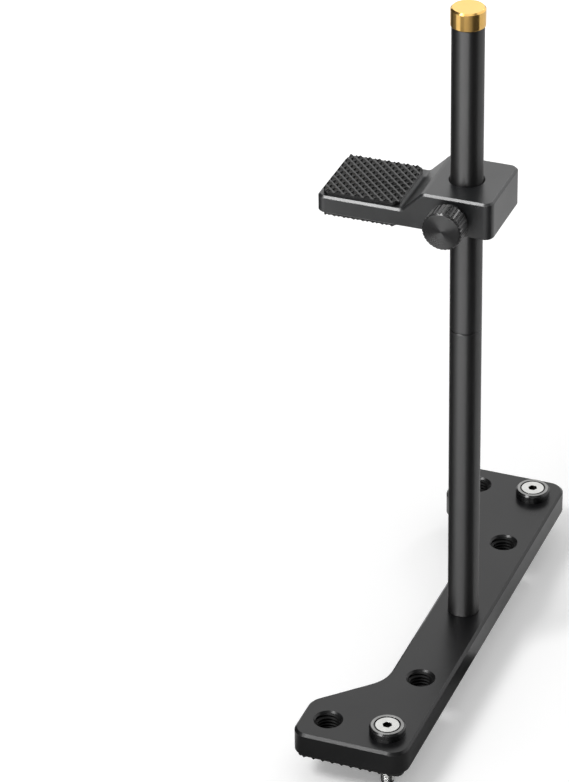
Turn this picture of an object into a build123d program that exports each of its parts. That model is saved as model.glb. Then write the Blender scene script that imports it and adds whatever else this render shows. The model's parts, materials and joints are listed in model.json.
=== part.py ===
from build123d import *
import math
import os

# Graphics card support bracket for the top of a 120 mm case fan.
# Origin: on the post's axis, in the plane of the base pads' tips, which is the fan's face.
# +Z is up along the post, the arm points along -X, and the plate runs along Y.
# All sizes are in millimetres.

# Base plate
fan_hole_spacing = 105.0
screw_end_margin = 7.5
plate_thickness = 6.0
plate_outer_reach = 6.6
bar_inner_reach = 7.4
corner_hole_offset = 14.4
corner_hole_margin = 6.5
lobe_inner_margin = 6.1
lobe_slope = 45.0
outer_corner_radius = 4.0
lobe_corner_radius = 3.5
shoulder_radius = 4.0
throat_radius = 10.0
plate_top_chamfer = 0.6
plate_bottom_chamfer = 0.3

# M6 threaded holes of the plate, as plain walls at the thread's outer radius
post_thread_radius = 3.0
thread_mouth_chamfer = 0.45
middle_hole_offset = 30.0

# Screws that hold the plate on the fan, and their cup washers
screw_radius = 1.5
screw_length = 16.0
screw_thread_length = 6.0
screw_neck_radius = 1.32
screw_hole_clearance = 0.2
screw_head_radius = 2.75
screw_head_land = 0.4
screw_socket_width = 2.0
screw_socket_depth = 1.2
screw_end_chamfer = 0.3
cup_radius = 4.2
cup_height = 2.2
cup_edge_chamfer = 0.4
cup_bore_clearance = 0.1
cup_recess_clearance = 0.35

# Rubber pads with diamond points
pad_thickness = 1.4
point_height = 0.6
point_pitch = 1.7
point_flat = 0.4
point_row_shift = 0.37
pad_inset = 1.0
pad_corner_radius = 1.8
pad_hole_clearance = 0.5

# Post
rod_radius = 3.7
rod_foot_chamfer = 0.1
lower_rod_length = 78.0
upper_rod_length = 76.5
rod_end_chamfer = 0.25
post_thread_length = 5.5
thread_clearance = 0.03
joint_thread_radius = 2.5
joint_thread_length = 9.0
thread_end_chamfer = 0.4
tapped_extra_depth = 1.5

# End cap
cap_radius = 3.95
cap_height = 4.2
cap_chamfer = 0.4
cap_thread_length = 5.5

# Support arm
arm_height_on_post = 107.25
arm_width = 20.0
arm_block_reach = 9.2
arm_platform_reach = 32.3
arm_block_height = 9.05
platform_thickness = 4.2
ramp_foot_reach = 12.0
ramp_slope = 45.0
ramp_foot_fillet = 1.5
ramp_head_fillet = 1.8
arm_corner_radius = 2.0
arm_top_chamfer = 0.5
arm_bottom_chamfer = 0.25
slide_clearance = 0.08
arm_bore_chamfer = 0.35
arm_pad_gap = 1.1

# Thumb screw, its stud and its soft tip
knob_radius = 4.6
knob_length = 5.0
knob_chamfer = 0.4
knob_flutes = 30
flute_depth = 0.3
collar_radius = 3.5
collar_length = 1.9
collar_gap = 0.4
clamp_thread_radius = 2.0
stud_depth_in_knob = 4.5
tip_length = 2.5
tip_side_clearance = 0.12
tip_face_clearance = 0.02
tip_chamfer = 0.25

# Heights and places that follow from the sizes above
plate_length = fan_hole_spacing + 2 * screw_end_margin
lobe_reach = corner_hole_offset + corner_hole_margin
lobe_length = screw_end_margin + lobe_inner_margin
plate_bottom = pad_thickness
plate_top = plate_bottom + plate_thickness
seam_height = plate_top + lower_rod_length
post_top = seam_height + upper_rod_length
arm_bottom = plate_top + arm_height_on_post
platform_top = arm_bottom + platform_thickness
arm_top = arm_bottom + arm_block_height
clamp_height = arm_bottom + arm_block_height / 2
arm_bore_radius = rod_radius + slide_clearance
screw_places = [(0, -fan_hole_spacing / 2), (0, fan_hole_spacing / 2)]
corner_places = [(-corner_hole_offset, y) for _, y in screw_places]
middle_places = [(0, -middle_hole_offset), (0, middle_hole_offset)]


def turned(points):
    """A solid of revolution about Z from a closed outline of (radius, height) points."""
    section = make_face(Plane.XZ * Polyline(*points, close=True))
    return revolve(section, Axis.Z)


def chamfered_hole(radius, bottom, top, chamfer):
    """The space of a straight hole with a chamfer at each mouth, a little longer than its wall."""
    over = 1.0
    return turned(
        [
            (0, bottom - over),
            (radius + chamfer + over, bottom - over),
            (radius, bottom + chamfer),
            (radius, top - chamfer),
            (radius + chamfer + over, top + over),
            (0, top + over),
        ]
    )


def plate_outline():
    """The plate from above: a straight bar whose two ends widen into lobes by a sloped shoulder."""
    end = plate_length / 2
    lobe_end = end - lobe_length
    throat = lobe_end - (lobe_reach - bar_inner_reach) * math.tan(math.radians(lobe_slope))
    corners = [
        ((plate_outer_reach, -end), outer_corner_radius),
        ((plate_outer_reach, end), outer_corner_radius),
        ((-lobe_reach, end), lobe_corner_radius),
        ((-lobe_reach, lobe_end), shoulder_radius),
        ((-bar_inner_reach, throat), throat_radius),
        ((-bar_inner_reach, -throat), throat_radius),
        ((-lobe_reach, -lobe_end), shoulder_radius),
        ((-lobe_reach, -end), lobe_corner_radius),
    ]
    points = [point for point, _ in corners]
    radii = [radius for _, radius in corners]
    return make_face(FilletPolyline(*points, radius=radii, close=True))


def base_plate():
    plate = extrude(Pos(0, 0, plate_bottom) * plate_outline(), plate_thickness)
    plate = chamfer(plate.faces().sort_by(Axis.Z)[-1].edges(), plate_top_chamfer)
    plate = chamfer(plate.faces().sort_by(Axis.Z)[0].edges(), plate_bottom_chamfer)
    thread = chamfered_hole(post_thread_radius, plate_bottom, plate_top, thread_mouth_chamfer)
    for place in [(0, 0)] + middle_places + corner_places:
        plate -= Pos(*place) * thread
    screw_hole = Cylinder(screw_radius + screw_hole_clearance, 3 * plate_thickness)
    for place in screw_places:
        plate -= Pos(*place, plate_top) * screw_hole
    return plate


def diamond_pad(length_x, length_y, hole_places=()):
    """A rubber pad with its flat back at z = 0 and rows of diamond points towards +Z.

    Two families of V grooves cross at right angles, both at 45 degrees to the pad's sides. One
    family is shifted by half a pitch, so that no point stands on the pad's centre line, and both
    lean by the row shift, which moves the whole pattern towards +Y."""
    blank = extrude(RectangleRounded(length_x, length_y, pad_corner_radius), pad_thickness)
    for place in hole_places:
        hole = Cylinder(screw_radius + pad_hole_clearance, 3 * pad_thickness)
        blank -= Pos(*place) * hole
    over = 0.5
    half_width = (point_pitch - point_flat) / 2
    spread = 1 + over / point_height
    groove_section = make_face(
        Plane.XZ
        * Polyline(
            (0, pad_thickness - point_height),
            (half_width * spread, pad_thickness + over),
            (-half_width * spread, pad_thickness + over),
            close=True,
        )
    )
    reach = (length_x + length_y) / math.sqrt(2)
    groove = extrude(groove_section, reach / 2, both=True)
    steps = math.ceil(reach / 2 / point_pitch)
    lean = point_row_shift / math.sqrt(2) / point_pitch
    for turn, shift in ((45, 0.5 + lean), (-45, -lean)):
        row = [Pos((step + shift) * point_pitch, 0) * groove for step in range(-steps, steps + 1)]
        blank -= [Rot(0, 0, turn) * one for one in row]
    return blank


def base_pad(side):
    """A pad under one lobe, set in from the plate's edges. side is -1 near and 1 far."""
    length_x = plate_outer_reach + lobe_reach - 2 * pad_inset
    length_y = lobe_length - 2 * pad_inset
    centre_x = (plate_outer_reach - lobe_reach) / 2
    centre_y = side * (plate_length / 2 - lobe_length / 2)
    screw_y = side * fan_hole_spacing / 2 - centre_y
    pad = diamond_pad(length_x, length_y, [(-centre_x, -screw_y)])
    return Pos(centre_x, centre_y, plate_bottom) * Rot(180, 0, 0) * pad


def cup_washer():
    """A cup whose 90 degree cone carries the screw's head flush with its top.

    The head's straight rim stands free in a recess above the cone."""
    bore = screw_radius + cup_bore_clearance
    cone_top = cup_height - screw_head_land
    cone_bottom = cone_top - (screw_head_radius - bore)
    recess = screw_head_radius + cup_recess_clearance
    return turned(
        [
            (bore, 0),
            (cup_radius, 0),
            (cup_radius, cup_height - cup_edge_chamfer),
            (cup_radius - cup_edge_chamfer, cup_height),
            (recess, cup_height),
            (recess, cone_top),
            (screw_head_radius, cone_top),
            (bore, cone_bottom),
        ]
    )


def fan_screw():
    """A countersunk socket screw with its head's top at z = 0.

    Its neck is as thin as the thread's pitch diameter, so that only the far end is threaded."""
    cone_depth = screw_head_radius - screw_neck_radius
    thread_start = -screw_length + screw_thread_length
    screw = turned(
        [
            (0, 0),
            (screw_head_radius, 0),
            (screw_head_radius, -screw_head_land),
            (screw_neck_radius, -screw_head_land - cone_depth),
            (screw_neck_radius, thread_start + screw_end_chamfer),
            (screw_radius, thread_start),
            (screw_radius, -screw_length + screw_end_chamfer),
            (screw_radius - screw_end_chamfer, -screw_length),
            (0, -screw_length),
        ]
    )
    socket = RegularPolygon(screw_socket_width / 2, 6, major_radius=False)
    return screw - extrude(socket, -screw_socket_depth)


def rod(bottom, length, thread_radius, thread_length, bottom_chamfer, tapped_depth):
    """A turned rod: a male thread below its shoulder at bottom, and a tapped hole in its top."""
    male = thread_radius - thread_clearance
    top = bottom + length
    tapped = joint_thread_radius
    shoulder = [(rod_radius - bottom_chamfer, bottom), (rod_radius, bottom + bottom_chamfer)]
    return turned(
        [
            (0, bottom - thread_length),
            (male - thread_end_chamfer, bottom - thread_length),
            (male, bottom - thread_length + thread_end_chamfer),
            (male, bottom),
            *shoulder,
            (rod_radius, top - rod_end_chamfer),
            (rod_radius - rod_end_chamfer, top),
            (tapped + rod_end_chamfer, top),
            (tapped, top - rod_end_chamfer),
            (tapped, top - tapped_depth),
            (0, top - tapped_depth),
        ]
    )


def lower_rod():
    depth = joint_thread_length + tapped_extra_depth
    return rod(
        plate_top, lower_rod_length, post_thread_radius, post_thread_length, rod_foot_chamfer, depth
    )


def upper_rod():
    depth = cap_thread_length + tapped_extra_depth
    return rod(
        seam_height, upper_rod_length, joint_thread_radius, joint_thread_length, rod_end_chamfer, depth
    )


def end_cap():
    male = joint_thread_radius - thread_clearance
    top = post_top + cap_height
    return turned(
        [
            (0, post_top - cap_thread_length),
            (male - thread_end_chamfer, post_top - cap_thread_length),
            (male, post_top - cap_thread_length + thread_end_chamfer),
            (male, post_top),
            (cap_radius, post_top),
            (cap_radius, top - cap_chamfer),
            (cap_radius - cap_chamfer, top),
            (0, top),
        ]
    )


def arm_profile():
    """The arm from the side: a platform, a ramp at its slope and the taller clamp block."""
    rise = arm_block_height - platform_thickness
    ramp_head = -ramp_foot_reach + rise / math.tan(math.radians(ramp_slope))
    corners = [
        ((-arm_platform_reach, arm_bottom), 0),
        ((arm_block_reach, arm_bottom), 0),
        ((arm_block_reach, arm_top), 0),
        ((ramp_head, arm_top), ramp_head_fillet),
        ((-ramp_foot_reach, platform_top), ramp_foot_fillet),
        ((-arm_platform_reach, platform_top), 0),
    ]
    points = [point for point, _ in corners]
    radii = [radius for _, radius in corners]
    return make_face(Plane.XZ * FilletPolyline(*points, radius=radii, close=True))


def is_upright(edge):
    """True for an edge that runs along Z."""
    start, end = edge.position_at(0), edge.position_at(1)
    return abs(start.X - end.X) + abs(start.Y - end.Y) < 0.001


def side_rim(solid):
    """The edges of a solid's upright side walls that run along their tops and feet."""
    walls = [face for face in solid.faces() if abs(face.normal_at().Z) < 0.01]
    return [edge for face in walls for edge in face.edges() if not is_upright(edge)]


def support_arm():
    arm = extrude(arm_profile(), arm_width / 2, both=True)
    arm = fillet([edge for edge in arm.edges() if is_upright(edge)], arm_corner_radius)
    foot_rim = [edge for edge in side_rim(arm) if edge.center().Z < platform_top - 0.01]
    arm = chamfer(foot_rim, arm_bottom_chamfer)
    top_rim = [edge for edge in side_rim(arm) if edge.center().Z > platform_top - 0.01]
    arm = chamfer(top_rim, arm_top_chamfer)
    arm -= chamfered_hole(arm_bore_radius, arm_bottom, arm_top, arm_bore_chamfer)
    cross_hole = Cylinder(clamp_thread_radius, arm_width, align=(Align.CENTER, Align.CENTER, Align.MIN))
    return arm - Pos(0, 0, clamp_height) * Rot(90, 0, 0) * cross_hole


def arm_pad():
    """The pad of the arm's platform, as far from the ramp's foot as from the platform's edges."""
    length_x = arm_platform_reach - ramp_foot_reach - pad_inset - arm_pad_gap
    return diamond_pad(length_x, arm_width - 2 * pad_inset)


def arm_pad_place(height):
    centre_x = -(arm_platform_reach - pad_inset + ramp_foot_reach + arm_pad_gap) / 2
    return Pos(centre_x, 0, height)


def thumb_knob():
    """The thumb screw's head, with its collar's back at z = 0 and its face towards +Z.

    Its rim has 90 degree V flutes at a pitch of about 1 mm, as a straight knurl has."""
    face = collar_length + knob_length
    hole = clamp_thread_radius - thread_clearance
    knob = turned(
        [
            (hole, 0),
            (collar_radius, 0),
            (collar_radius, collar_length),
            (knob_radius - knob_chamfer, collar_length),
            (knob_radius, collar_length + knob_chamfer),
            (knob_radius, face - knob_chamfer),
            (knob_radius - knob_chamfer, face),
            (0, face),
            (0, stud_depth_in_knob),
            (hole, stud_depth_in_knob),
        ]
    )
    over = 0.2
    root = knob_radius - flute_depth
    mouth = knob_radius + over
    half_width = mouth - root
    flute_section = make_face(Polyline((root, 0), (mouth, half_width), (mouth, -half_width), close=True))
    flute = extrude(Pos(0, 0, collar_length - over) * flute_section, knob_length + 2 * over)
    return knob - [Rot(0, 0, 360 / knob_flutes * step) * flute for step in range(knob_flutes)]


def clamp_stud():
    """The threaded stud, from the soft tip's back out into the knob, along +Z."""
    radius = clamp_thread_radius - thread_clearance
    inner = rod_radius + tip_face_clearance + tip_length
    outer = arm_width / 2 + collar_gap + stud_depth_in_knob
    return turned(
        [
            (0, inner),
            (radius - tip_chamfer, inner),
            (radius, inner + tip_chamfer),
            (radius, outer),
            (0, outer),
        ]
    )


def pressure_tip():
    """The soft tip between the stud and the rod, along +Z."""
    radius = clamp_thread_radius - tip_side_clearance
    inner = rod_radius + tip_face_clearance
    outer = inner + tip_length
    return turned(
        [
            (0, inner),
            (radius - tip_chamfer, inner),
            (radius, inner + tip_chamfer),
            (radius, outer),
            (0, outer),
        ]
    )


def on_clamp_axis(solid, distance=0):
    """Lays a solid made along +Z onto the clamp screw's axis, which points out along -Y."""
    return Pos(0, -distance, clamp_height) * Rot(90, 0, 0) * solid


nodes = {
    "base_plate": base_plate(),
    "base_pad_near": base_pad(-1),
    "base_pad_far": base_pad(1),
    "lower_rod": lower_rod(),
    "upper_rod": upper_rod(),
    "end_cap": end_cap(),
    "support_arm": support_arm(),
    "upper_pad": arm_pad_place(platform_top) * arm_pad(),
    "lower_pad": arm_pad_place(arm_bottom) * Rot(180, 0, 0) * arm_pad(),
    "thumb_knob": on_clamp_axis(thumb_knob(), arm_width / 2 + collar_gap),
    "clamp_stud": on_clamp_axis(clamp_stud()),
    "pressure_tip": on_clamp_axis(pressure_tip()),
}
for side, place in zip(("near", "far"), screw_places):
    nodes["cup_washer_" + side] = Pos(*place, plate_top) * cup_washer()
    nodes["fan_screw_" + side] = Pos(*place, plate_top + cup_height) * fan_screw()

os.makedirs("parts", exist_ok=True)
for name, solid in nodes.items():
    export_step(solid, "parts/" + name + ".step")
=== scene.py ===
# %% [markdown]
# # A graphics card support bracket
# A black anodised bracket stands on a case fan and carries the free end of a graphics card. Its
# machined parts come from the CAD model, which this script loads as a fixed frame. Blender adds
# what a CAD model leaves out: the finishes, the screw threads and the rubber pads' moulded points.
# Everything is in metres, in the CAD model's own frame: the post stands on the origin along +Z,
# the arm reaches towards -X and the plate runs along Y.

import json
import math

import bmesh
import bpy
from mathutils import Matrix, Vector


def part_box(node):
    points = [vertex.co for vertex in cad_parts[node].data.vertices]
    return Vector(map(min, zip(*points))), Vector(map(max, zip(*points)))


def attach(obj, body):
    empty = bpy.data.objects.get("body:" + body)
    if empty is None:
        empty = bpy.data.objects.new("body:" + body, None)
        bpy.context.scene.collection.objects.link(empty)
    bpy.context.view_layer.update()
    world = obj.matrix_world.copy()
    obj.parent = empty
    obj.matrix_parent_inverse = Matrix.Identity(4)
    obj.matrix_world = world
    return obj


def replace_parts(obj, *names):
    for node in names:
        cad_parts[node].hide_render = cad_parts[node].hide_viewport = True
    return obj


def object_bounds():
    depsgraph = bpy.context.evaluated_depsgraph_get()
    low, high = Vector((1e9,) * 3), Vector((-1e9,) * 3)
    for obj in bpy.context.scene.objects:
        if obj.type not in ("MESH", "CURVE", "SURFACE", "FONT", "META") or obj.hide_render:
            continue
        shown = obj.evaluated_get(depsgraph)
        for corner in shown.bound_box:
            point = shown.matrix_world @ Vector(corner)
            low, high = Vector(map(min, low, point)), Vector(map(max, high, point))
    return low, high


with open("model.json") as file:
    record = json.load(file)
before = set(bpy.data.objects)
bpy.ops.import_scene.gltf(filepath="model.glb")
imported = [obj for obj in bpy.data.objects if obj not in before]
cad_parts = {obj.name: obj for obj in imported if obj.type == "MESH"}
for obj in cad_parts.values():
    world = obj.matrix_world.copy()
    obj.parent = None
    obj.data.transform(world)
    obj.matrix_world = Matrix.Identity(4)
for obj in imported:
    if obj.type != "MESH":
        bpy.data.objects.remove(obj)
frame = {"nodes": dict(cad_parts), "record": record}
cad_low, cad_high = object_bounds()
mm = 0.001
print("pieces from the CAD model:", sorted(frame["nodes"]))
print("size in mm:", [round(side / mm, 2) for side in cad_high - cad_low])

# %% [markdown]
# ## Measures taken from the frame
# A piece that is added here has to fit the machined ones, so its places and heights are read off
# the CAD pieces' boxes. Only what a box can't tell, such as a thread's pitch, is written down.

# %% Read the heights and places
plate_low, plate_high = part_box("base_plate")
plate_bottom, plate_top = plate_low.z, plate_high.z
threaded_mounts = [m for m in frame["record"]["mounts"] if m["kind"] == "threaded_hole"]
print("plate from", round(plate_bottom / mm, 2), "to", round(plate_top / mm, 2), "mm")
print("open threaded holes:", len(threaded_mounts))

# %% [markdown]
# ## Colours
# A colour picked from a chart or a screen is an sRGB hex value, while a shader works with linear
# light. One function turns the first into the second, so every colour below can be read as hex.


# %% Turn sRGB hex into linear colour
def linear(hex_value):
    """The linear RGBA colour of an sRGB hex string such as '1e1f20'."""
    channels = [int(hex_value[start : start + 2], 16) / 255 for start in (0, 2, 4)]
    curve = [c / 12.92 if c <= 0.04045 else ((c + 0.055) / 1.055) ** 2.4 for c in channels]
    return (*curve, 1.0)


def lighter(hex_value, times):
    """The linear colour of a hex value, so many times as light."""
    return (*[channel * times for channel in linear(hex_value)[:3]], 1.0)


# %% [markdown]
# ## One helper for shader nodes
# A material is a small network of nodes. Building one by hand takes three steps for each node:
# make it, set its properties and fill its sockets, either with a value or with a link. One short
# function does all three, so that the materials below read like a list of what they are made of.


# %% Add a shader node
def add_node(tree, kind, sockets=None, **properties):
    """Adds a node of a kind, sets its properties, and fills its sockets with values or links."""
    node = tree.nodes.new(kind)
    for name, value in properties.items():
        setattr(node, name, value)
    for name, value in (sockets or {}).items():
        if isinstance(value, bpy.types.NodeSocket):
            tree.links.new(value, node.inputs[name])
        else:
            node.inputs[name].default_value = value
    return node


def new_material(name):
    """An empty node material, and its node tree."""
    material = bpy.data.materials.new(name)
    material.use_nodes = True
    material.node_tree.nodes.clear()
    print("material:", name)
    return material, material.node_tree


# %% [markdown]
# ## Bead-blasted black anodised aluminium
# The plate and the arm are milled, blasted with fine glass beads and then anodised black. The
# blasting leaves a dense field of tiny dimples about 0.1 mm across, drawn a little coarser here,
# which spreads each reflection into a soft sheen. The oxide is a clear hard ceramic with black dye
# in its pores, so it reflects like a dielectric and not like bare metal: metallic stays 0, and the
# IOR is the oxide's, lowest where the dyed and sealed pores are many. Fine noise gives the
# dimples, slower noise lets the dye and the gloss drift a little, and a rounded-edge normal
# catches light on the edges as real ones do. A tapped thread gets the same layer, darker and
# duller, with its darker colour as painted shade deep inside the holes.


# %% Make the blasted finish
dimple_size = 0.16 * mm
dimple_depth = 0.02 * mm
blasted_edge = 0.12 * mm
gloss_drift = 0.03


def blasted_anodised(name, colour, roughness, ior):
    """Black anodised aluminium with a blasted grain."""
    material, tree = new_material(name)
    place = add_node(tree, "ShaderNodeTexCoord").outputs["Object"]
    grain = add_node(
        tree, "ShaderNodeTexNoise", {"Vector": place, "Scale": 1 / dimple_size, "Detail": 3.0}
    )
    drift = add_node(tree, "ShaderNodeTexNoise", {"Vector": place, "Scale": 90.0, "Detail": 4.0})
    tint = add_node(
        tree,
        "ShaderNodeMix",
        {"Factor": drift.outputs["Fac"], "A": linear(colour), "B": lighter(colour, 1.35)},
        data_type="RGBA",
    )
    gloss = add_node(
        tree,
        "ShaderNodeMapRange",
        {
            "Value": drift.outputs["Fac"],
            "From Min": 0.3,
            "From Max": 0.7,
            "To Min": roughness - gloss_drift,
            "To Max": roughness + gloss_drift,
        },
    )
    edge = add_node(tree, "ShaderNodeBevel", {"Radius": blasted_edge}, samples=6)
    bump = add_node(
        tree,
        "ShaderNodeBump",
        {
            "Strength": 0.12,
            "Distance": dimple_depth,
            "Height": grain.outputs["Fac"],
            "Normal": edge.outputs["Normal"],
        },
    )
    surface = add_node(
        tree,
        "ShaderNodeBsdfPrincipled",
        {
            "Base Color": tint.outputs["Result"],
            "Roughness": gloss.outputs["Result"],
            "IOR": ior,
            "Normal": bump.outputs["Normal"],
        },
    )
    add_node(tree, "ShaderNodeOutputMaterial", {"Surface": surface.outputs["BSDF"]})
    return material


plate_finish = blasted_anodised("plate_blasted_black_anodised", "0e0e0f", 0.3, 1.46)
arm_finish = blasted_anodised("arm_blasted_black_anodised", "1c1d1e", 0.3, 1.7)
# The thread's darker colour is painted shade inside the holes.
thread_shade_finish = blasted_anodised("thread_black_anodised_painted_shade", "040404", 0.5, 1.3)

# %% [markdown]
# ## Turned metal
# The rods, the washers, the knob, the cap and the screws' heads come off a lathe. The tool leaves
# rings a few hundredths of a millimetre apart, which anodising keeps. Rings spread light along the
# turned part's axis and hardly round it, so a rod shows crisp upright bands of light and dark. The
# shader's anisotropy does that: its tangent runs round the axis, and a quarter turn lays the long
# side of each highlight across the rings. A wave texture adds the rings themselves, drawn at
# 0.3 mm instead of 0.05 mm so that they show at all. The black parts are anodised, so they stay
# dielectric, and the brass, the steel, the zinc and the washers' bare edge are metallic. Ambient
# occlusion finds deep corners, such as a screw's socket, and darkens the colour there: painted
# shade.


# %% Make the turned finish
ring_pitch = 0.3 * mm
ring_depth = 0.004 * mm
wave_scale = 0.314 / ring_pitch  # a wave texture of scale 1 repeats every 0.314 m
turned_edge = 0.1 * mm
corner_reach = 2.5 * mm


def turned_finish(
    name, colour, axis, roughness, metallic=0.0, ior=1.7, grime=0.0, anisotropy=0.8
):
    """A surface turned about an axis ('X', 'Y' or 'Z'), with painted shade in deep corners by a
    share.
    """
    material, tree = new_material(name)
    place = add_node(tree, "ShaderNodeTexCoord").outputs["Object"]
    rings = add_node(
        tree,
        "ShaderNodeTexWave",
        {"Vector": place, "Scale": wave_scale, "Distortion": 0.2, "Detail": 2.0},
        bands_direction=axis,
    )
    drift = add_node(tree, "ShaderNodeTexNoise", {"Vector": place, "Scale": 120.0, "Detail": 4.0})
    tint = add_node(
        tree,
        "ShaderNodeMix",
        {"Factor": drift.outputs["Fac"], "A": linear(colour), "B": lighter(colour, 1.2)},
        data_type="RGBA",
    )
    # Painted shade: ambient occlusion darkens the colour in deep corners by the given share.
    hollow = add_node(tree, "ShaderNodeAmbientOcclusion", {"Distance": corner_reach}, samples=8)
    corner_shade_share = add_node(
        tree,
        "ShaderNodeMapRange",
        {"Value": hollow.outputs["AO"], "From Min": 0.85, "From Max": 0.45, "To Max": grime},
    )
    corner_shaded_tint = add_node(
        tree,
        "ShaderNodeMix",
        {"Factor": corner_shade_share.outputs["Result"], "A": tint.outputs["Result"], "B": linear("0a0a0a")},
        data_type="RGBA",
    )
    gloss = add_node(
        tree,
        "ShaderNodeMapRange",
        {
            "Value": drift.outputs["Fac"],
            "From Min": 0.3,
            "From Max": 0.7,
            "To Min": roughness - gloss_drift,
            "To Max": roughness + gloss_drift,
        },
    )
    edge = add_node(tree, "ShaderNodeBevel", {"Radius": turned_edge}, samples=6)
    bump = add_node(
        tree,
        "ShaderNodeBump",
        {
            "Strength": 0.18,
            "Distance": ring_depth,
            "Height": rings.outputs["Fac"],
            "Normal": edge.outputs["Normal"],
        },
    )
    round_axis = add_node(tree, "ShaderNodeTangent", direction_type="RADIAL", axis=axis)
    surface = add_node(
        tree,
        "ShaderNodeBsdfPrincipled",
        {
            "Base Color": corner_shaded_tint.outputs["Result"],
            "Roughness": gloss.outputs["Result"],
            "Metallic": metallic,
            "IOR": ior,
            "Anisotropic": anisotropy,
            "Anisotropic Rotation": 0.25,
            "Tangent": round_axis.outputs["Tangent"],
            "Normal": bump.outputs["Normal"],
        },
    )
    add_node(tree, "ShaderNodeOutputMaterial", {"Surface": surface.outputs["BSDF"]})
    return material


def turned_metal(name, colour, axis, roughness, **more):
    """Bare or plated metal. It keeps the shader's own IOR, as its colour sets what it mirrors."""
    return turned_finish(name, colour, axis, roughness, metallic=1.0, ior=1.5, **more)


rod_finish = turned_finish("rod_turned_black_anodised", "0e0e0f", "Z", 0.44)
washer_finish = turned_finish("washer_turned_black_anodised", "0a0a0b", "Z", 0.26, ior=1.6)
knob_finish = turned_finish("knob_turned_black_anodised", "0a0a0b", "Y", 0.28)
bright_cut_finish = turned_metal("washer_bright_cut_edge", "8c8c8b", "Z", 0.3)
brass_finish = turned_metal("cap_turned_brass", "f0c272", "Z", 0.17, anisotropy=0.1)
# The steel gets painted shade in its deep corners, such as the socket.
steel_finish = turned_metal("screw_stainless_steel", "c4c4c2", "Z", 0.26, grime=0.97)
stud_finish = turned_metal("stud_zinc_plated_steel", "a9abad", "Y", 0.35)

# %% [markdown]
# ## Moulded black rubber
# The pads are pressed from black nitrile rubber in a ground steel mould. Carbon black swallows
# nearly all light, so the colour is close to black, and what comes back is the silky sheen of the
# moulded skin, which is smoother than cut rubber. Noise gives the fine grain of the mould, and the
# skin's gloss wanders where the points have been handled.

# %% Make the rubber
grain_depth = 0.02 * mm
rubber_finish, tree = new_material("pad_moulded_black_rubber")
place = add_node(tree, "ShaderNodeTexCoord").outputs["Object"]
grain = add_node(tree, "ShaderNodeTexNoise", {"Vector": place, "Scale": 5000.0, "Detail": 3.0})
handling = add_node(tree, "ShaderNodeTexNoise", {"Vector": place, "Scale": 150.0, "Detail": 3.0})
skin_gloss = add_node(
    tree,
    "ShaderNodeMapRange",
    {
        "Value": handling.outputs["Fac"],
        "From Min": 0.3,
        "From Max": 0.7,
        "To Min": 0.22,
        "To Max": 0.28,
    },
)
rubber_bump = add_node(
    tree,
    "ShaderNodeBump",
    {"Strength": 0.2, "Distance": grain_depth, "Height": grain.outputs["Fac"]},
)
rubber_surface = add_node(
    tree,
    "ShaderNodeBsdfPrincipled",
    {
        "Base Color": linear("060606"),
        "Roughness": skin_gloss.outputs["Result"],
        "IOR": 1.66,
        "Normal": rubber_bump.outputs["Normal"],
    },
)
add_node(tree, "ShaderNodeOutputMaterial", {"Surface": rubber_surface.outputs["BSDF"]})

# %% [markdown]
# ## Natural nylon
# The soft tip between the thumb screw and the rod is cut from natural nylon rod. Nylon is milky:
# light enters it, scatters and comes out a little further on, which subsurface scattering gives.

# %% Make the nylon
nylon_finish, tree = new_material("tip_natural_nylon")
place = add_node(tree, "ShaderNodeTexCoord").outputs["Object"]
saw_marks = add_node(tree, "ShaderNodeTexNoise", {"Vector": place, "Scale": 2500.0, "Detail": 3.0})
nylon_bump = add_node(
    tree,
    "ShaderNodeBump",
    {"Strength": 0.3, "Distance": grain_depth, "Height": saw_marks.outputs["Fac"]},
)
nylon_surface = add_node(
    tree,
    "ShaderNodeBsdfPrincipled",
    {
        "Base Color": linear("e6e3d8"),
        "Roughness": 0.45,
        "IOR": 1.53,
        "Subsurface Weight": 0.2,
        "Subsurface Scale": 0.4 * mm,
        "Normal": nylon_bump.outputs["Normal"],
    },
)
add_node(tree, "ShaderNodeOutputMaterial", {"Surface": nylon_surface.outputs["BSDF"]})

# %% [markdown]
# ## Dress the machined pieces
# The CAD pieces keep their exact shape and only get their finish.

# %% Give each CAD piece its finish
finish_of_slot = {
    "plate_anodised": plate_finish,
    "arm_anodised": arm_finish,
    "rod_anodised": rod_finish,
    "knob_anodised": knob_finish,
    "washer_anodised": washer_finish,
    "pad_rubber": rubber_finish,
    "cap_brass": brass_finish,
    "screw_steel": steel_finish,
    "stud_steel": stud_finish,
    "tip_nylon": nylon_finish,
}
slot_of_node = {row["node"]: row["material_slot"] for row in frame["record"]["subparts"]}
for name, piece in frame["nodes"].items():
    piece.data.materials.clear()
    piece.data.materials.append(finish_of_slot[slot_of_node[name]])
print("dressed", len(frame["nodes"]), "CAD pieces")


# %% [markdown]
# ## A helper for new pieces
# Each piece that is added below starts as a bmesh, Blender's editable mesh. One function turns it
# into an object with its faces outward, gives it a finish, which its record slot picks unless one
# is given, shades it smooth where faces meet at less than 30 degrees, and lets it ride on a body
# of the CAD model, so that it moves with its joint. Blender can take the outside of a thin, spiky
# mesh for its inside, and a negative volume shows that.


# %% Turn a bmesh into a piece
sharp_angle = math.radians(30.0)


def add_piece(name, mesh, slot, body, finish=None):
    """Makes an object of a bmesh, shades it, and lets it ride on a CAD body."""
    bmesh.ops.recalc_face_normals(mesh, faces=mesh.faces)
    if mesh.calc_volume(signed=True) < 0:
        bmesh.ops.reverse_faces(mesh, faces=mesh.faces)
    data = bpy.data.meshes.new(name)
    mesh.to_mesh(data)
    mesh.free()
    data.materials.append(finish or finish_of_slot[slot])
    data.shade_smooth()
    data.set_sharp_from_angle(angle=sharp_angle)
    piece = bpy.data.objects.new(name, data)
    bpy.context.scene.collection.objects.link(piece)
    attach(piece, body)
    print(name, "has", len(data.polygons), "faces and rides on", body)
    return piece


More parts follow.
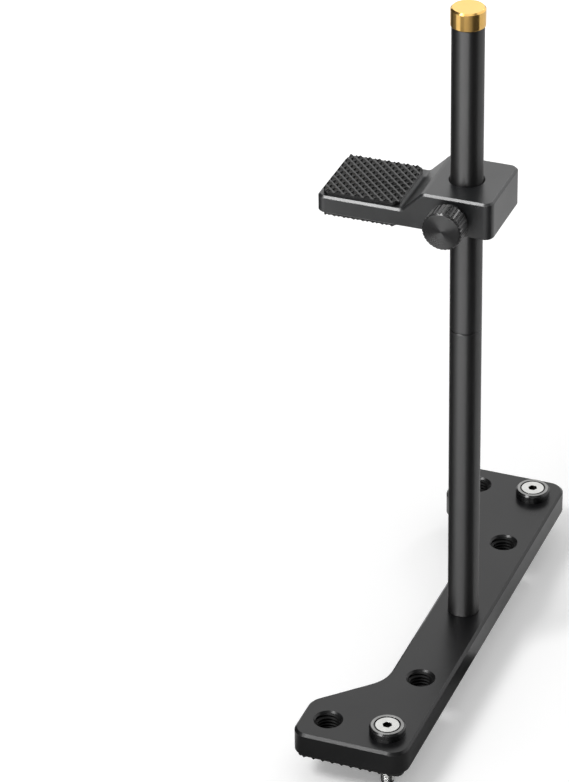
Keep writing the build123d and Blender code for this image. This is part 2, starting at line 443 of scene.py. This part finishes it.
# %% [markdown]
# ## Diamond-point pads
# The rubber pads carry rows of small pyramids with blunt tips, so that they grip and still give a
# little. The real mould is cut by two sets of V grooves that cross at right angles, at 45 degrees
# to the pad's sides. The mesh is built the same way. Along each diagonal direction a short list of
# offsets, repeated once per pitch, gives the tip, its flank and the groove's flat floor, and the
# height at a crossing is the lower one of its two directions. A displacement texture would be
# quicker, but it can't give sharp edges or real side walls.

# %% Work out the rows of points
point_pitch = 1.62 * mm
# Where the first tip lies in each diagonal direction from the pad's middle, in pitches
shift_across, shift_along = -0.044, -0.4
point_height = 0.6 * mm
tip_width = 0.14 * mm
floor_width = 0.42 * mm
edge_softness = 0.05 * mm


def point_profile():
    """Half a pitch from a tip's middle to a groove's middle, as (offset, drop below the tip)."""
    tip, foot = tip_width / 2, point_pitch / 2 - floor_width / 2
    slope = point_height / (foot - tip)
    soft = edge_softness
    return [
        (0.0, 0.0),
        (tip - soft, 0.0),
        (tip + soft, slope * soft),
        (foot - soft, point_height - slope * soft),
        (foot + soft, point_height),
        (point_pitch / 2, point_height),
    ]


def groove_lines(reach, shift):
    """Every line across one diagonal direction, as (place, drop), from -reach to +reach."""
    half = point_profile()
    whole = [(-offset, drop) for offset, drop in half[:0:-1]] + half[:-1]
    steps = math.ceil(reach / point_pitch) + 1
    return [
        ((step + shift) * point_pitch + offset, drop)
        for step in range(-steps, steps + 1)
        for offset, drop in whole
    ]


flank = [(round(offset / mm, 3), round(drop / mm, 3)) for offset, drop in point_profile()]
print("from a tip down to its groove, in mm:", flank)

# %% [markdown]
# The sheet of points is then cut along the pad's outline, straight side by straight side and
# corner facet by corner facet. Its border is drawn down to the flat back, which leaves half-cut
# points on the pad's walls, as on the real one.

# %% Mould one pad
pad_corner_radius = 1.8 * mm
corner_steps = 6
same_height = 1e-7
same_place = 0.001 * mm
cut_tolerance = 1e-8


def rounded_outline(half_x, half_y, radius):
    """The pad's outline as (point, outward direction) of each straight side and corner facet."""
    sides = [(Vector((half_x, 0, 0)), 0.0), (Vector((0, half_y, 0)), 90.0)]
    sides += [(Vector((-half_x, 0, 0)), 180.0), (Vector((0, -half_y, 0)), 270.0)]
    corners = [(1, 1, 0.0), (-1, 1, 90.0), (-1, -1, 180.0), (1, -1, 270.0)]
    for sign_x, sign_y, start in corners:
        middle = Vector((sign_x * (half_x - radius), sign_y * (half_y - radius), 0))
        for step in range(1, corner_steps):
            angle = start + 90.0 * step / corner_steps
            way = Vector((math.cos(math.radians(angle)), math.sin(math.radians(angle)), 0))
            sides.append((middle + way * radius, angle))
    turns = [(point, math.radians(angle)) for point, angle in sides]
    return [(point, Vector((math.cos(turn), math.sin(turn), 0))) for point, turn in turns]


def point_sheet(half_x, half_y, thickness):
    """An open sheet of points that reaches past a pad's outline. Slanted quads are split."""
    reach = (half_x + half_y) / math.sqrt(2)
    across = groove_lines(reach, shift_across)
    along = groove_lines(reach, shift_along)
    diagonal = math.sqrt(0.5)
    mesh = bmesh.new()
    grid = [
        [
            mesh.verts.new(
                ((s + t) * diagonal, (s - t) * diagonal, thickness - max(drop_s, drop_t))
            )
            for t, drop_t in along
        ]
        for s, drop_s in across
    ]
    for i in range(len(across) - 1):
        for j in range(len(along) - 1):
            a, b, c, d = grid[i][j], grid[i + 1][j], grid[i + 1][j + 1], grid[i][j + 1]
            level_ac = abs(a.co.z - c.co.z) < same_height
            level_bd = abs(b.co.z - d.co.z) < same_height
            if level_bd and not level_ac:
                corners = ((a, b, c), (a, c, d))
            elif level_ac and not level_bd:
                corners = ((a, b, d), (b, c, d))
            else:
                corners = ((a, b, c, d),)
            for corner in corners:
                mesh.faces.new(corner)
    return mesh


def diamond_pad(half_x, half_y, thickness):
    """A pad centred on the origin with its flat back at z = 0 and its points towards +z."""
    mesh = point_sheet(half_x, half_y, thickness)
    for point, way in rounded_outline(half_x, half_y, pad_corner_radius):
        bmesh.ops.bisect_plane(
            mesh,
            geom=mesh.verts[:] + mesh.edges[:] + mesh.faces[:],
            plane_co=point,
            plane_no=way,
            clear_outer=True,
            dist=cut_tolerance,
        )
    bmesh.ops.remove_doubles(mesh, verts=mesh.verts, dist=same_place)
    border = [edge for edge in mesh.edges if edge.is_boundary]
    walls = bmesh.ops.extrude_edge_only(mesh, edges=border)["geom"]
    for corner in [v for v in walls if isinstance(v, bmesh.types.BMVert)]:
        corner.co.z = 0.0
    rim = [edge for edge in mesh.edges if edge.is_boundary]
    bmesh.ops.contextual_create(mesh, geom=rim)
    return mesh


# %% [markdown]
# Each moulded pad stands for the CAD pad in whose box it lies. The arm's upper pad points up, and
# the other three point down.


# %% Lay the four pads
def place_pad(node, body, up):
    """Replaces a CAD pad by a finely moulded one in the same box. up is +1 or -1."""
    low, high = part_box(node)
    middle = (low + high) / 2
    mesh = diamond_pad((high.x - low.x) / 2, (high.y - low.y) / 2, high.z - low.z)
    turn = Matrix.Identity(4) if up > 0 else Matrix.Rotation(math.pi, 4, "X")
    back = low.z if up > 0 else high.z
    mesh.transform(Matrix.Translation((middle.x, middle.y, back)) @ turn)
    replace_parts(add_piece(node + "_moulded", mesh, "pad_rubber", body), node)


place_pad("upper_pad", "arm", 1)
place_pad("lower_pad", "arm", -1)
place_pad("base_pad_near", "base", -1)
place_pad("base_pad_far", "base", -1)

# %% [markdown]
# ## Screw threads
# A thread is a V-shaped ridge that climbs round a cylinder. The CAD holes and shanks are plain,
# at the thread's outer radius. Here a helix is swept in small steps, each with a four-cornered
# section, and the ridge fades out at both ends as a real tap's or die's does. Sweeping by hand
# gives an even mesh, where a screw modifier would leave open ends to close.


# %% Sweep a helical ridge
steps_per_turn = 40
fade_steps = 13
root_share, crest_share = 0.44, 0.07  # half widths of the ridge, in pitches
lowest, narrowest = 0.02, 0.3  # shares of the ridge's height and width left at its very ends
sunk_share = 0.1  # how deep the root is sunk in the wall, as a share of the ridge's height


def thread_ridge(name, centre, bottom, top, wall, crest, pitch, slot, finish=None):
    """A ridge between the radii wall and crest that climbs from bottom to top about a centre."""
    count = max(2, round((top - bottom) / pitch * steps_per_turn))
    root_half, crest_half = root_share * pitch, crest_share * pitch
    rooted = wall + (wall - crest) * sunk_share
    mesh = bmesh.new()
    rings = []
    for step in range(count + 1):
        angle = 2 * math.pi * step / steps_per_turn
        height = bottom + root_half + (top - bottom - 2 * root_half) * step / count
        grown = max(min(1.0, step / fade_steps, (count - step) / fade_steps), lowest)
        tip = rooted + (crest - rooted) * grown
        corners = ((rooted, -root_half), (tip, -crest_half), (tip, crest_half), (rooted, root_half))
        rings.append(
            [
                mesh.verts.new(
                    (
                        centre[0] + radius * math.cos(angle),
                        centre[1] + radius * math.sin(angle),
                        height + offset * (narrowest + (1 - narrowest) * grown),
                    )
                )
                for radius, offset in corners
            ]
        )
    for first, second in zip(rings, rings[1:]):
        for side in range(4):
            after = (side + 1) % 4
            mesh.faces.new((first[side], first[after], second[after], second[side]))
    mesh.faces.new(rings[0])
    mesh.faces.new(rings[-1])
    return add_piece(name, mesh, slot, "base", finish)


# %% [markdown]
# The plate's four open holes get M6 turns. The hole that holds the post is filled by it.

# %% Thread the plate's holes
m6_pitch = 1.0 * mm
m6_crest = 2.5 * mm
hole_ends = (0.3 * mm, 0.2 * mm)  # plain hole below and above the turns
for mount in threaded_mounts:
    thread_ridge(
        mount["name"] + "_turns",
        mount["pos_m"],
        plate_bottom + hole_ends[0],
        plate_top - hole_ends[1],
        mount["dims"]["r_mm"] * mm,
        m6_crest,
        m6_pitch,
        "plate_anodised",
        thread_shade_finish,
    )

# %% [markdown]
# The fan screws' ends get the finer M3 thread, whose crests stand a hair proud of the plain
# end. The waist between it and the head is thin, so that the screw can't fall out of its hole.

# %% Thread the fan screws
m3_pitch = 0.5 * mm
m3_root, m3_crest = 1.49 * mm, 1.6 * mm
threaded_from, threaded_to = 0.3 * mm, 5.9 * mm  # measured from the screw's end
for side in ("near", "far"):
    low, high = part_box("fan_screw_" + side)
    thread_ridge(
        "fan_screw_" + side + "_turns",
        (low + high) / 2,
        low.z + threaded_from,
        low.z + threaded_to,
        m3_root,
        m3_crest,
        m3_pitch,
        "screw_steel",
    )

# %% [markdown]
# ## Bright edge of the cup washers
# The flat rim of each cup is faced once more on the lathe after anodising, which leaves a ring of
# bare bright metal round the screw's head. It is a thin ring, laid on the CAD washer's rim.

# %% Face the washers' rims
rim_inner, rim_outer, rim_lift = 3.14 * mm, 3.78 * mm, 0.02 * mm
rim_steps = 96
rim_section = ((rim_inner, 0.0), (rim_inner, rim_lift), (rim_outer, rim_lift), (rim_outer, 0.0))
for side in ("near", "far"):
    low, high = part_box("cup_washer_" + side)
    middle = (low + high) / 2
    mesh = bmesh.new()
    rings = []
    for step in range(rim_steps):
        angle = 2 * math.pi * step / rim_steps
        round_x, round_y = math.cos(angle), math.sin(angle)
        rings.append(
            [
                mesh.verts.new((middle.x + r * round_x, middle.y + r * round_y, high.z + lift))
                for r, lift in rim_section
            ]
        )
    for step in range(rim_steps):
        first, second = rings[step], rings[(step + 1) % rim_steps]
        for corner in range(4):
            after = (corner + 1) % 4
            mesh.faces.new((first[corner], first[after], second[after], second[corner]))
    name = "cup_washer_" + side + "_bright_rim"
    add_piece(name, mesh, "washer_anodised", "base", bright_cut_finish)

# %% [markdown]
# ## Floor and background
# A wide pale sheet lies under the bracket, at the level of the screws' ends, so the shadow falls
# on something. Its colour makes it pale, not extra light. To the camera alone it glows, a little
# near the bracket and more far from it, so that the paper looks white up to the horizon although
# less of the lamps' light falls there, and the bracket's shadow stays.

# %% Lay the floor
floor_half = 6.0
glow_near, glow_far = 0.1, 0.7  # metres from the bracket between which the glow grows
floor_finish, tree = new_material("floor_matt_white_paper")
place = add_node(tree, "ShaderNodeTexCoord").outputs["Object"]
fibres = add_node(tree, "ShaderNodeTexNoise", {"Vector": place, "Scale": 400.0, "Detail": 3.0})
floor_bump = add_node(
    tree,
    "ShaderNodeBump",
    {"Strength": 0.05, "Distance": 0.1 * mm, "Height": fibres.outputs["Fac"]},
)
floor_surface = add_node(
    tree,
    "ShaderNodeBsdfDiffuse",
    {"Color": linear("f4f4f4"), "Normal": floor_bump.outputs["Normal"]},
)
path = add_node(tree, "ShaderNodeLightPath")
from_middle = add_node(tree, "ShaderNodeVectorMath", {0: place}, operation="LENGTH")
far_glow = add_node(
    tree,
    "ShaderNodeMapRange",
    {
        "Value": from_middle.outputs["Value"],
        "From Min": glow_near,
        "From Max": glow_far,
        "To Min": 0.22,
        "To Max": 0.9,
    },
)
glow = add_node(
    tree,
    "ShaderNodeMath",
    {0: path.outputs["Is Camera Ray"], 1: far_glow.outputs["Result"]},
    operation="MULTIPLY",
)
floor_glow = add_node(tree, "ShaderNodeEmission", {"Strength": glow.outputs[0]})
both = add_node(
    tree, "ShaderNodeAddShader", {0: floor_surface.outputs["BSDF"], 1: floor_glow.outputs[0]}
)
add_node(tree, "ShaderNodeOutputMaterial", {"Surface": both.outputs["Shader"]})
floor_mesh = bmesh.new()
bmesh.ops.create_grid(floor_mesh, x_segments=1, y_segments=1, size=floor_half)
floor_data = bpy.data.meshes.new("studio_floor")
floor_mesh.to_mesh(floor_data)
floor_mesh.free()
floor_data.materials.append(floor_finish)
studio_floor = bpy.data.objects.new("studio_floor", floor_data)
studio_floor.location = (0, 0, cad_low.z)
bpy.context.scene.collection.objects.link(studio_floor)
print("floor at", round(cad_low.z / mm, 2), "mm")

# %% [markdown]
# ## World
# The camera, and every reflection, sees a plain white studio. The light that the world sheds on
# the object is weaker than that, so that the lamps can shape it.

# %% Set up the world
world = bpy.data.worlds.new("white_studio")
bpy.context.scene.world = world
world.use_nodes = True
tree = world.node_tree
tree.nodes.clear()
path = add_node(tree, "ShaderNodeLightPath")
seen = add_node(
    tree,
    "ShaderNodeMath",
    {0: path.outputs["Is Camera Ray"], 1: path.outputs["Is Glossy Ray"]},
    operation="MAXIMUM",
)
seen_or_through = add_node(
    tree,
    "ShaderNodeMath",
    {0: seen.outputs[0], 1: path.outputs["Is Transmission Ray"]},
    operation="MAXIMUM",
)
ambient = add_node(tree, "ShaderNodeBackground", {"Color": linear("ffffff"), "Strength": 0.45})
white = add_node(tree, "ShaderNodeBackground", {"Color": linear("ffffff"), "Strength": 1.0})
choice = add_node(
    tree,
    "ShaderNodeMixShader",
    {0: seen_or_through.outputs[0], 1: ambient.outputs[0], 2: white.outputs[0]},
)
add_node(tree, "ShaderNodeOutputWorld", {"Surface": choice.outputs[0]})

# %% [markdown]
# ## Lamps
# Soft boxes stand where a product photographer puts them. The key light, high on the front left,
# draws the bright lines on the near edges. A long low strip stands on the floor in front, and only
# glossy surfaces see it: the rings of the turned parts draw its reflection out into the post's
# light band, while flat faces hardly mirror it. A rim box at the back right lights the knob's
# flutes, a wide weak one behind is mirrored by all that faces up, and one overhead fills in.


# %% Place the soft boxes
def soft_box(name, azimuth, elevation, distance, width, height, watts, gloss_only=False):
    """An area lamp that looks at the middle of the object.

    Azimuth 0 stands towards -Y and 90 towards +X.
    """
    lamp = bpy.data.lights.new(name, "AREA")
    lamp.shape = "RECTANGLE"
    lamp.size, lamp.size_y = width, height
    lamp.energy = watts
    turn, rise = math.radians(azimuth), math.radians(elevation)
    level, up = math.cos(rise), math.sin(rise)
    way = Vector((math.sin(turn) * level, -math.cos(turn) * level, up))
    holder = bpy.data.objects.new(name, lamp)
    holder.location = (cad_low + cad_high) / 2 + way * distance
    holder.rotation_mode = "QUATERNION"
    holder.rotation_quaternion = way.to_track_quat("Z", "Y")
    holder.visible_camera = False
    holder.visible_diffuse = not gloss_only
    bpy.context.scene.collection.objects.link(holder)
    print("lamp", name, watts, "W")


soft_box("key_soft_box", -31.0, 50.0, 0.75, 0.24, 0.24, 2.9)
soft_box("low_strip_box", -4.0, -3.4, 0.6, 0.7, 0.15, 4.6, gloss_only=True)
soft_box("right_rim_box", 158.0, 31.0, 0.9, 0.12, 0.24, 0.6)
soft_box("back_soft_box", 202.0, 40.0, 0.9, 0.7, 0.5, 0.3)
soft_box("overhead_soft_box", 0.0, 88.0, 1.2, 0.8, 0.8, 1.2)

# %% [markdown]
# ## A sheet of painted reflections round the front
# A black object on white paper looks grey and flat, because its front mirrors the paper. A
# photographer lays dark velvet just outside the picture, so that the mirrored paper turns dark and
# only the soft boxes draw bright lines. Here a sheet that only reflections see stands in for it,
# and its tones are painted reflections. It lies in front of the bracket and rises round it from the
# left side to the right. Its tone changes round the sweep, because a round bar mirrors all of it
# from edge to edge: a pale strip at the left paints the post's and the cap's left band of reflected
# light, and the darkest tone at the right paints the post's dark band. Only reflections see the
# sheet, so it neither shows nor throws a shadow.

# %% Make the painted reflection tones
reflection_sheet_finish, tree = new_material("reflection_sheet_painted_tones")
place = add_node(tree, "ShaderNodeTexCoord").outputs["Object"]
round_sweep = add_node(tree, "ShaderNodeTexGradient", {"Vector": place}, gradient_type="RADIAL")
sweep_tone = add_node(tree, "ShaderNodeValToRGB", {"Fac": round_sweep.outputs["Fac"]})
# Each tone is a painted reflection: what the post, the cap and the faces mirror from that side.
tones = [  # azimuth in degrees and tone, where 0 is towards -Y and 90 towards +X
    (-88.0, "7c7c7c"),
    (-68.0, "707070"),
    (-60.0, "f0f0f0"),
    (-36.0, "f0f0f0"),
    (-29.0, "707070"),
    (-12.0, "707070"),
    (-2.0, "909090"),
    (40.0, "909090"),
    (52.0, "505050"),
]
stops = sweep_tone.color_ramp.elements
for count, (azimuth, tone) in enumerate(tones):
    share = azimuth / 360 + 0.25  # the gradient starts at -X, a quarter turn before -Y
    stop = stops[count] if count < 2 else stops.new(share)  # a new ramp comes with two stops
    stop.position, stop.color = share, linear(tone)
reflection_sheet_surface = add_node(tree, "ShaderNodeBsdfDiffuse", {"Color": sweep_tone.outputs["Color"]})
add_node(tree, "ShaderNodeOutputMaterial", {"Surface": reflection_sheet_surface.outputs["BSDF"]})

# %% [markdown]
# The sheet is a flat fan on the floor with an upright wall at its rim.

# %% Hang the reflection sheet
reflection_sheet_radius, reflection_sheet_height = 0.85, 1.5
reflection_sheet_from, reflection_sheet_to, reflection_sheet_steps = -125.0, 94.0, 48
reflection_sheet_level = cad_low.z + 0.2 * mm
reflection_sheet_mesh = bmesh.new()
hub = reflection_sheet_mesh.verts.new((0, 0, reflection_sheet_level))
feet, heads = [], []
for step in range(reflection_sheet_steps + 1):
    turn = math.radians(reflection_sheet_from + (reflection_sheet_to - reflection_sheet_from) * step / reflection_sheet_steps)
    x, y = reflection_sheet_radius * math.sin(turn), -reflection_sheet_radius * math.cos(turn)
    feet.append(reflection_sheet_mesh.verts.new((x, y, reflection_sheet_level)))
    heads.append(reflection_sheet_mesh.verts.new((x, y, reflection_sheet_level + reflection_sheet_height)))
for step in range(reflection_sheet_steps):
    reflection_sheet_mesh.faces.new((hub, feet[step], feet[step + 1]))
    reflection_sheet_mesh.faces.new((feet[step], heads[step], heads[step + 1], feet[step + 1]))
reflection_sheet_data = bpy.data.meshes.new("reflection_only_sheet")
reflection_sheet_mesh.to_mesh(reflection_sheet_data)
reflection_sheet_mesh.free()
reflection_sheet_data.materials.append(reflection_sheet_finish)
reflection_sheet = bpy.data.objects.new("reflection_only_sheet", reflection_sheet_data)
for kind in ("camera", "diffuse", "transmission", "volume_scatter", "shadow"):
    setattr(reflection_sheet, "visible_" + kind, False)
bpy.context.scene.collection.objects.link(reflection_sheet)
# The span of the reflection sheet, in degrees.
print("velvet from", reflection_sheet_from, "to", reflection_sheet_to, "degrees")

# %% [markdown]
# ## Camera
# The photograph looks down at the bracket from its near right side with a long lens. The camera's
# place, direction and tilt follow from how the plate's holes, the rod and the arm stand in it.

# %% Place the camera
image_height = 782  # pixels on the photograph's long side
sensor_long_side = 36.0
focal_length_in_pixels = 3832.9
camera_place = Vector((0.2437, -0.7113, 0.5313))
look_down = math.radians(31.61)
look_across = math.radians(22.08)
roll = math.radians(-1.17)
upright = Vector((0, 0, 1))
level_ahead = Vector((-math.sin(look_across), math.cos(look_across), 0))
level_right = Vector((math.cos(look_across), math.sin(look_across), 0))
ahead = level_ahead * math.cos(look_down) - upright * math.sin(look_down)
above = level_ahead * math.sin(look_down) + upright * math.cos(look_down)
image_right = level_right * math.cos(roll) + above * math.sin(roll)
image_up = above * math.cos(roll) - level_right * math.sin(roll)
lens = bpy.data.cameras.new("photo_camera")
lens.sensor_width = sensor_long_side
lens.lens = focal_length_in_pixels / image_height * sensor_long_side
lens.clip_start, lens.clip_end = 0.05, 20.0
camera = bpy.data.objects.new("photo_camera", lens)
axes = Matrix((image_right, image_up, -ahead)).transposed().to_4x4()
camera.matrix_world = Matrix.Translation(camera_place) @ axes
bpy.context.scene.collection.objects.link(camera)
bpy.context.scene.camera = camera
print("lens in mm:", round(lens.lens, 1))

# %% [markdown]
# ## Colour management
# The Standard view shows a colour as it is written, without a film curve on top.

# %% Choose the view transform
bpy.context.scene.view_settings.view_transform = "Standard"
